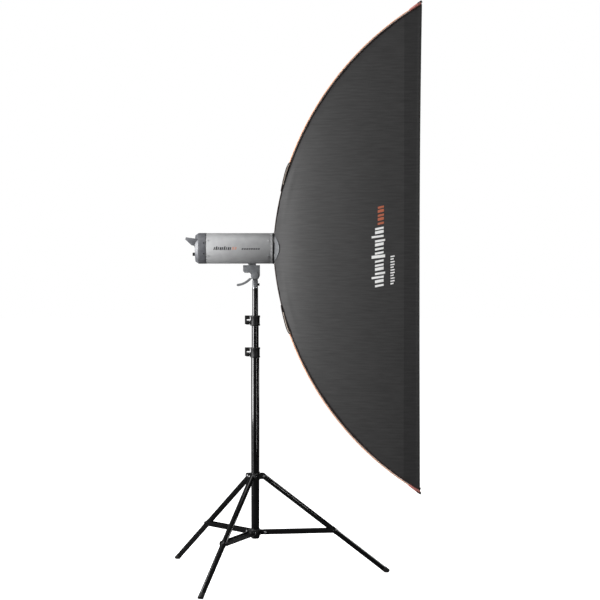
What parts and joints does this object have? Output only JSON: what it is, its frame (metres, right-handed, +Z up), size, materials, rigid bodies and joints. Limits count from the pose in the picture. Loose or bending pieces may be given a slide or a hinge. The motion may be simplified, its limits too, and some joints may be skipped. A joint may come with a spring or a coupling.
{
  "type": "studio softbox set",
  "caption": "Tall strip softbox with bowed orange-piped fabric sides on a studio flash head, held by a tilt bracket on a telescoping light stand with folding tripod legs.",
  "frame": {"origin": "on the floor, under the axis of the column", "axes": "+Z up, +X the way the softbox faces, +Y to the left of it"},
  "size_m": [1.07, 1.0097, 2.4153],
  "materials": {
    "gloss_black": "gloss",
    "black_plastic": "matte",
    "steel_pin": "satin",
    "black_knob": "matte",
    "rubber_foot": "matte",
    "chrome_spigot": "polished",
    "grey_casting": "satin",
    "dark_casting": "satin",
    "silver_tube": "satin",
    "black_ring": "satin",
    "grey_plastic": "satin",
    "panel_plastic": "matte",
    "red_button": "gloss",
    "bright_socket": "polished",
    "flash_glass": "polished",
    "lamp_glass": "polished",
    "ceramic": "gloss",
    "dome_glass": "polished",
    "capacitor_sleeve": "gloss",
    "board": "satin",
    "rod_fibre": "satin",
    "softbox_fabric": "woven",
    "lip_fabric": "woven",
    "piping": "woven",
    "diffusion_fabric": "matte"
  },
  "bodies": {
    "stand_base": {"base_tube": "gloss_black", "base_cap": "black_plastic", "brace_hub": "black_plastic", "brace_pins": "steel_pin", "lower_clamp": "black_plastic"},
    "lower_clamp_knob": {"lower_clamp_knob": "black_knob"},
    "leg_hub": {"leg_hub": "black_plastic", "leg_pins": "steel_pin"},
    "hub_lock_knob": {"hub_lock_knob": "black_knob"},
    "mid_column": {"mid_tube": "gloss_black", "upper_clamp": "black_plastic"},
    "upper_clamp_knob": {"upper_clamp_knob": "black_knob"},
    "top_column": {"top_tube": "gloss_black", "spigot": "chrome_spigot"},
    "bracket_socket": {"bracket_socket": "grey_casting"},
    "socket_thumbscrew": {"socket_thumbscrew": "black_knob"},
    "flash_head": {"bracket_head": "grey_casting", "tilt_bolt": "steel_pin", "mounting_foot": "dark_casting", "strobe_housing": "silver_tube", "strobe_front_ring": "black_ring", "rear_cap": "grey_plastic", "rear_handle": "grey_plastic", "rear_panel": "panel_plastic", "mains_inlet": "panel_plastic", "sync_socket": "bright_socket", "flash_tube": "flash_glass", "modelling_lamp": "lamp_glass", "lamp_socket": "ceramic", "glass_dome": "dome_glass", "capacitors": "capacitor_sleeve", "circuit_board": "board", "bayonet_insert": "black_ring"},
    "tilt_lever": {"tilt_lever": "grey_casting"},
    "umbrella_screw": {"umbrella_screw": "black_knob"},
    "power_switch": {"power_switch": "black_knob"},
    "flash_dial": {"flash_dial": "black_knob"},
    "lamp_dial": {"lamp_dial": "black_knob"},
    "test_button": {"test_button": "red_button"},
    "fan_rotor": {"fan_rotor": "panel_plastic"},
    "softbox": {"speedring": "dark_casting", "rib_rods": "rod_fibre", "side_panel_near": "softbox_fabric", "side_panel_far": "softbox_fabric", "top_panel": "softbox_fabric", "bottom_panel": "softbox_fabric", "access_flaps": "softbox_fabric", "edge_piping": "piping", "front_lip": "lip_fabric", "front_diffuser": "diffusion_fabric", "inner_diffuser": "diffusion_fabric"},
    "leg_1": {"leg_1": "gloss_black", "foot_1": "rubber_foot"},
    "brace_1": {"brace_1": "gloss_black"},
    "leg_2": {"leg_2": "gloss_black", "foot_2": "rubber_foot"},
    "brace_2": {"brace_2": "gloss_black"},
    "leg_3": {"leg_3": "gloss_black", "foot_3": "rubber_foot"},
    "brace_3": {"brace_3": "gloss_black"}
  },
  "joints": [
    {"name": "hub_slide", "type": "slide", "parent": "stand_base", "child": "leg_hub", "axis": [0, 0, 1], "range_m": [0, 0.4496]},
    {"name": "leg_1_fold", "type": "hinge", "parent": "leg_hub", "child": "leg_1", "pos_m": [0.03457, 0.00547, 0.428], "axis": [-0.1564, 0.9877, 0], "range_deg": [0, 48.05]},
    {"name": "leg_2_fold", "type": "hinge", "parent": "leg_hub", "child": "leg_2", "pos_m": [-0.02203, 0.0272, 0.428], "axis": [-0.7771, -0.6293, 0], "range_deg": [0, 48.05]},
    {"name": "leg_3_fold", "type": "hinge", "parent": "leg_hub", "child": "leg_3", "pos_m": [-0.01254, -0.03268, 0.428], "axis": [0.9336, -0.3584, 0], "range_deg": [0, 48.05]},
    {"name": "brace_1_fold", "type": "hinge", "parent": "stand_base", "child": "brace_1", "pos_m": [0.04, 0.00634, 0.18762], "axis": [0.1564, -0.9877, 0], "range_deg": [0, 86]},
    {"name": "brace_2_fold", "type": "hinge", "parent": "stand_base", "child": "brace_2", "pos_m": [-0.02549, 0.03147, 0.18762], "axis": [0.7771, 0.6293, 0], "range_deg": [0, 86]},
    {"name": "brace_3_fold", "type": "hinge", "parent": "stand_base", "child": "brace_3", "pos_m": [-0.01451, -0.03781, 0.18762], "axis": [-0.9336, 0.3584, 0], "range_deg": [0, 86]},
    {"name": "hub_lock_turn", "type": "hinge", "parent": "leg_hub", "child": "hub_lock_knob", "pos_m": [0, 0, 0.428], "axis": [0.3584, 0.9336, 0], "range_deg": [-90, 90]},
    {"name": "lower_clamp_turn", "type": "hinge", "parent": "stand_base", "child": "lower_clamp_knob", "pos_m": [-0.03, 0, 0.948], "axis": [-1, 0, 0], "range_deg": [-120, 120]},
    {"name": "mid_slide", "type": "slide", "parent": "stand_base", "child": "mid_column", "axis": [0, 0, 1], "range_m": [-0.075, 0.55]},
    {"name": "upper_clamp_turn", "type": "hinge", "parent": "mid_column", "child": "upper_clamp_knob", "pos_m": [-0.03, 0, 1.084], "axis": [-1, 0, 0], "range_deg": [-120, 120]},
    {"name": "top_slide", "type": "slide", "parent": "mid_column", "child": "top_column", "axis": [0, 0, 1], "range_m": [-0.1, 0.6]},
    {"name": "bracket_pan", "type": "hinge", "parent": "top_column", "child": "bracket_socket", "pos_m": [0, 0, 1.24], "axis": [0, 0, 1], "continuous": true},
    {"name": "thumbscrew_turn", "type": "hinge", "parent": "bracket_socket", "child": "socket_thumbscrew", "pos_m": [0.014, 0, 1.246], "axis": [1, 0, 0], "range_deg": [-180, 180]},
    {"name": "head_tilt", "type": "hinge", "parent": "bracket_socket", "child": "flash_head", "pos_m": [0, 0, 1.284], "axis": [0, -1, 0], "range_deg": [-15, 60]},
    {"name": "tilt_lever_turn", "type": "hinge", "parent": "flash_head", "child": "tilt_lever", "pos_m": [0, -0.02, 1.284], "axis": [0, 1, 0], "range_deg": [-35, 35]},
    {"name": "umbrella_screw_turn", "type": "hinge", "parent": "flash_head", "child": "umbrella_screw", "pos_m": [-0.036, 0.02, 1.317], "axis": [0, 1, 0], "range_deg": [-180, 180]},
    {"name": "softbox_turn", "type": "hinge", "parent": "flash_head", "child": "softbox", "pos_m": [0.09, 0, 1.4], "axis": [1, 0, 0], "continuous": true},
    {"name": "power_rock", "type": "hinge", "parent": "flash_head", "child": "power_switch", "pos_m": [-0.248, -0.029, 1.408], "axis": [0, 1, 0], "range_deg": [-10, 10]},
    {"name": "flash_dial_turn", "type": "hinge", "parent": "flash_head", "child": "flash_dial", "pos_m": [-0.254, -0.022, 1.375], "axis": [1, 0, 0], "range_deg": [-135, 135]},
    {"name": "lamp_dial_turn", "type": "hinge", "parent": "flash_head", "child": "lamp_dial", "pos_m": [-0.254, 0.022, 1.375], "axis": [1, 0, 0], "range_deg": [-135, 135]},
    {"name": "test_press", "type": "slide", "parent": "flash_head", "child": "test_button", "axis": [1, 0, 0], "range_m": [0, 0.002], "stiffness_N_per_m": 500, "springref_m": -0.0005},
    {"name": "fan_spin", "type": "hinge", "parent": "flash_head", "child": "fan_rotor", "pos_m": [-0.191, 0, 1.4], "axis": [1, 0, 0], "continuous": true}
  ],
  "couplings": [
    {"joint": "leg_1_fold", "follows": "hub_slide", "rad_per_m": 1.8652},
    {"joint": "leg_2_fold", "follows": "hub_slide", "rad_per_m": 1.8652},
    {"joint": "leg_3_fold", "follows": "hub_slide", "rad_per_m": 1.8652},
    {"joint": "brace_1_fold", "follows": "hub_slide", "rad_per_m": 3.3385},
    {"joint": "brace_2_fold", "follows": "hub_slide", "rad_per_m": 3.3385},
    {"joint": "brace_3_fold", "follows": "hub_slide", "rad_per_m": 3.3385}
  ]
}
